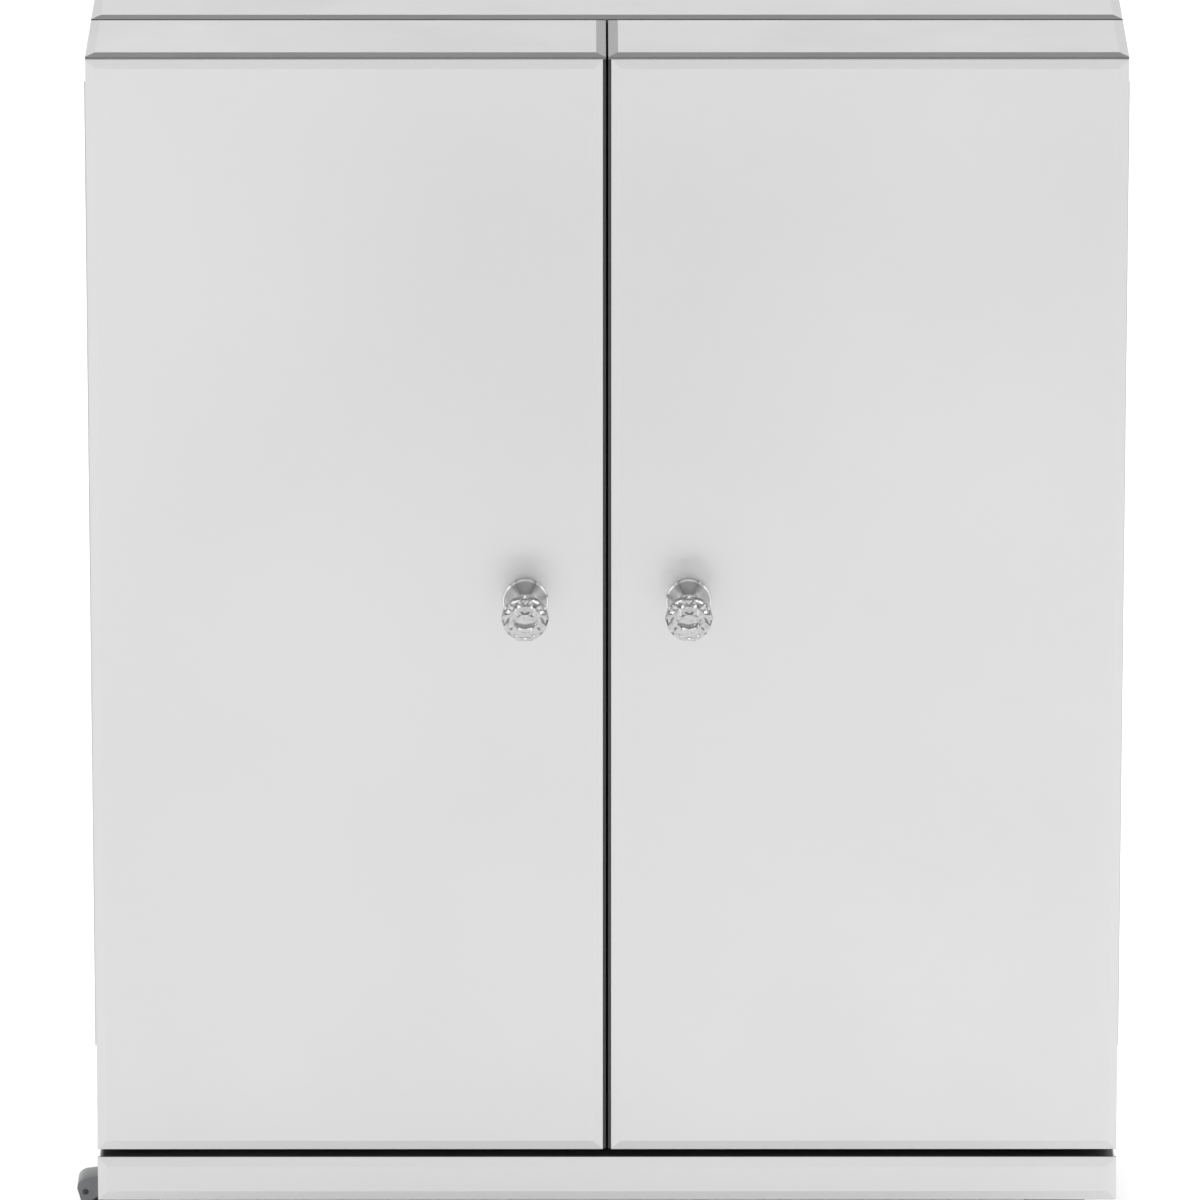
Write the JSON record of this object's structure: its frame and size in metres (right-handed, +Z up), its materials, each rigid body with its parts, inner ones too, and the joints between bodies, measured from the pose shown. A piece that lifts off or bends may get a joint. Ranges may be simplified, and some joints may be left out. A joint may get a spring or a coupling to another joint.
{
  "type": "armoire",
  "caption": "Bevelled-mirror armoire whose deep box doors hold shelves, with cut-crystal knobs, a mirrored platform base and swivel casters.",
  "frame": {"origin": "on the floor, under the middle of the whole part's bounds", "axes": "+X to the right of a person facing the doors, the doors face -Y, +Z up"},
  "size_m": [0.887, 0.5113, 1.073],
  "materials": {
    "mirror": "polished, bevelled edges",
    "black_board": "satin black painted board",
    "chrome": "polished",
    "crystal": "faceted clear crystal",
    "steel": "satin",
    "caster_grey": "dark grey moulded nylon",
    "catch_plastic": "black moulded plastic",
    "tyre": "dark rubber tread"
  },
  "bodies": {
    "carcass": {"base_platform": "black_board", "base_front_mirror": "mirror", "base_left_mirror": "mirror", "base_right_mirror": "mirror", "bottom_board": "black_board", "top_board": "black_board", "back_panel": "black_board", "left_side_board": "black_board", "right_side_board": "black_board", "left_side_mirror": "mirror", "right_side_mirror": "mirror", "carcass_top_mirror": "mirror", "carcass_shelf_1": "black_board", "carcass_shelf_2": "black_board", "magnetic_catch": "catch_plastic", "left_carcass_hinge_leaf": "steel", "right_carcass_hinge_leaf": "steel", "left_hinge_pin": "steel", "right_hinge_pin": "steel"},
    "left_door": {"left_door_front_mirror": "mirror", "left_door_top_mirror": "mirror", "left_door_side_mirror": "mirror", "left_door_panel": "black_board", "left_door_box": "black_board", "left_door_shelf_1": "black_board", "left_door_shelf_2": "black_board", "left_door_rail_1": "chrome", "left_door_rail_2": "chrome", "left_door_hinge_leaf": "steel", "left_strike_plate": "steel", "left_knob_rosette": "chrome", "left_knob_crystal": "crystal", "left_knob_screw": "steel"},
    "right_door": {"right_door_front_mirror": "mirror", "right_door_top_mirror": "mirror", "right_door_side_mirror": "mirror", "right_door_panel": "black_board", "right_door_box": "black_board", "right_door_shelf_1": "black_board", "right_door_shelf_2": "black_board", "right_door_rail_1": "chrome", "right_door_rail_2": "chrome", "right_door_hinge_leaf": "steel", "right_strike_plate": "steel", "right_knob_rosette": "chrome", "right_knob_crystal": "crystal", "right_knob_screw": "steel"},
    "front_left_fork": {"front_left_caster_fork": "caster_grey", "front_left_caster_axle": "steel"},
    "front_left_wheel": {"front_left_caster_wheel": "tyre"},
    "front_right_fork": {"front_right_caster_fork": "caster_grey", "front_right_caster_axle": "steel"},
    "front_right_wheel": {"front_right_caster_wheel": "tyre"},
    "rear_left_fork": {"rear_left_caster_fork": "caster_grey", "rear_left_caster_axle": "steel"},
    "rear_left_wheel": {"rear_left_caster_wheel": "tyre"},
    "rear_right_fork": {"rear_right_caster_fork": "caster_grey", "rear_right_caster_axle": "steel"},
    "rear_right_wheel": {"rear_right_caster_wheel": "tyre"}
  },
  "joints": [
    {"name": "left_door_hinge", "type": "hinge", "parent": "carcass", "child": "left_door", "pos_m": [-0.4335, -0.0522, 0.596], "axis": [0, 0, -1], "range_deg": [0, 170]},
    {"name": "right_door_hinge", "type": "hinge", "parent": "carcass", "child": "right_door", "pos_m": [0.4335, -0.0522, 0.596], "axis": [0, 0, 1], "range_deg": [0, 170]},
    {"name": "front_left_swivel", "type": "hinge", "parent": "carcass", "child": "front_left_fork", "pos_m": [-0.3915, -0.1002, 0.078], "axis": [0, 0, 1], "continuous": true},
    {"name": "front_left_roll", "type": "hinge", "parent": "front_left_fork", "child": "front_left_wheel", "pos_m": [-0.4155, -0.1002, 0.03], "axis": [0, -1, 0], "continuous": true},
    {"name": "front_right_swivel", "type": "hinge", "parent": "carcass", "child": "front_right_fork", "pos_m": [0.3915, -0.1002, 0.078], "axis": [0, 0, 1], "continuous": true},
    {"name": "front_right_roll", "type": "hinge", "parent": "front_right_fork", "child": "front_right_wheel", "pos_m": [0.3795, -0.07942, 0.03], "axis": [-0.866, -0.5, 0], "continuous": true},
    {"name": "rear_left_swivel", "type": "hinge", "parent": "carcass", "child": "rear_left_fork", "pos_m": [-0.3915, 0.1718, 0.078], "axis": [0, 0, 1], "continuous": true},
    {"name": "rear_left_roll", "type": "hinge", "parent": "rear_left_fork", "child": "rear_left_wheel", "pos_m": [-0.3795, 0.19258, 0.03], "axis": [-0.866, 0.5, 0], "continuous": true},
    {"name": "rear_right_swivel", "type": "hinge", "parent": "carcass", "child": "rear_right_fork", "pos_m": [0.3915, 0.1718, 0.078], "axis": [0, 0, 1], "continuous": true},
    {"name": "rear_right_roll", "type": "hinge", "parent": "rear_right_fork", "child": "rear_right_wheel", "pos_m": [0.38733, 0.19544, 0.03], "axis": [-0.9848, -0.1736, 0], "continuous": true}
  ]
}
